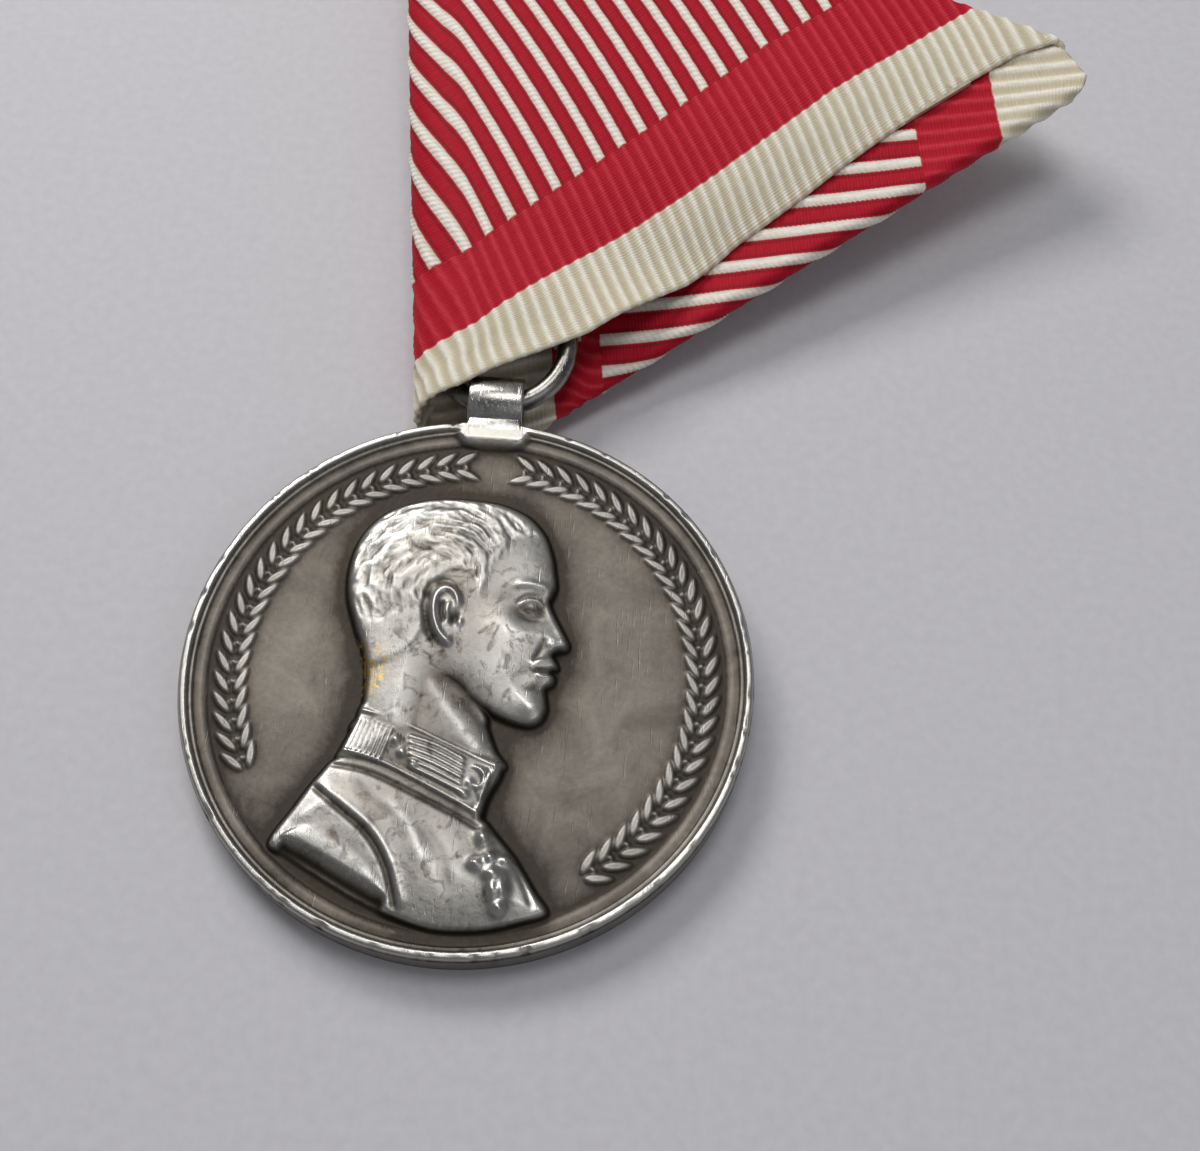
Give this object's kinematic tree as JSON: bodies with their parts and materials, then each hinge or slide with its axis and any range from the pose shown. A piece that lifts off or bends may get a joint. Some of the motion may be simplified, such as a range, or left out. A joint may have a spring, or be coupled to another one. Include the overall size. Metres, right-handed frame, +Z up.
{
  "type": "medal on a folded ribbon",
  "caption": "Small round silver medal with a raised bust, hanging by an eye and split ring from a striped ribbon folded into a triangle, with a brooch on its back.",
  "frame": {"origin": "middle of the underside of the whole object's box as it lies on its back", "axes": "+X to the right across the medal's face, +Y from the medal's foot to its eye and on to the ribbon, +Z up, out of the medal's face"},
  "size_m": [0.0528, 0.0798, 0.0083],
  "materials": {
    "silver": "antiqued satin",
    "silver_polished": "worn polish",
    "ribbon_cloth": "ribbed weave, red and cream stripes",
    "card": "matt card",
    "thread": "cotton thread",
    "brooch_metal": "nickelled, worn",
    "rivet_metal": "satin",
    "needle_steel": "bright steel wire"
  },
  "bodies": {
    "ribbon_body": {"ribbon": "ribbon_cloth", "stiffener": "card", "ring_stitches": "thread", "seam_stitches": "thread", "bar_stitches": "thread", "pin_bar": "brooch_metal", "pin_hinge_bracket": "brooch_metal", "pin_hinge_rivet": "rivet_metal", "pin_catch": "brooch_metal"},
    "ring_body": {"suspension_ring": "silver_polished"},
    "medal_body": {"medal_disc": "silver", "suspension_eye": "silver_polished"},
    "needle_body": {"pin_needle": "needle_steel"}
  },
  "joints": [
    {"name": "ring_turn", "type": "hinge", "parent": "ribbon_body", "child": "ring_body", "pos_m": [-0.01087, -0.00341, 0.00407], "axis": [-0.0611, -0.144, 0.9877], "range_deg": [0, 44]},
    {"name": "medal_flap", "type": "hinge", "parent": "ring_body", "child": "medal_body", "pos_m": [-0.01087, -0.00727, 0.00351], "axis": [-1, 0, 0], "range_deg": [-2, 15]},
    {"name": "pin_hinge", "type": "hinge", "parent": "ribbon_body", "child": "needle_body", "pos_m": [-0.01184, 0.02214, 0.00114], "axis": [0.3859, 0.9092, 0.1564], "range_deg": [0, 100]}
  ]
}
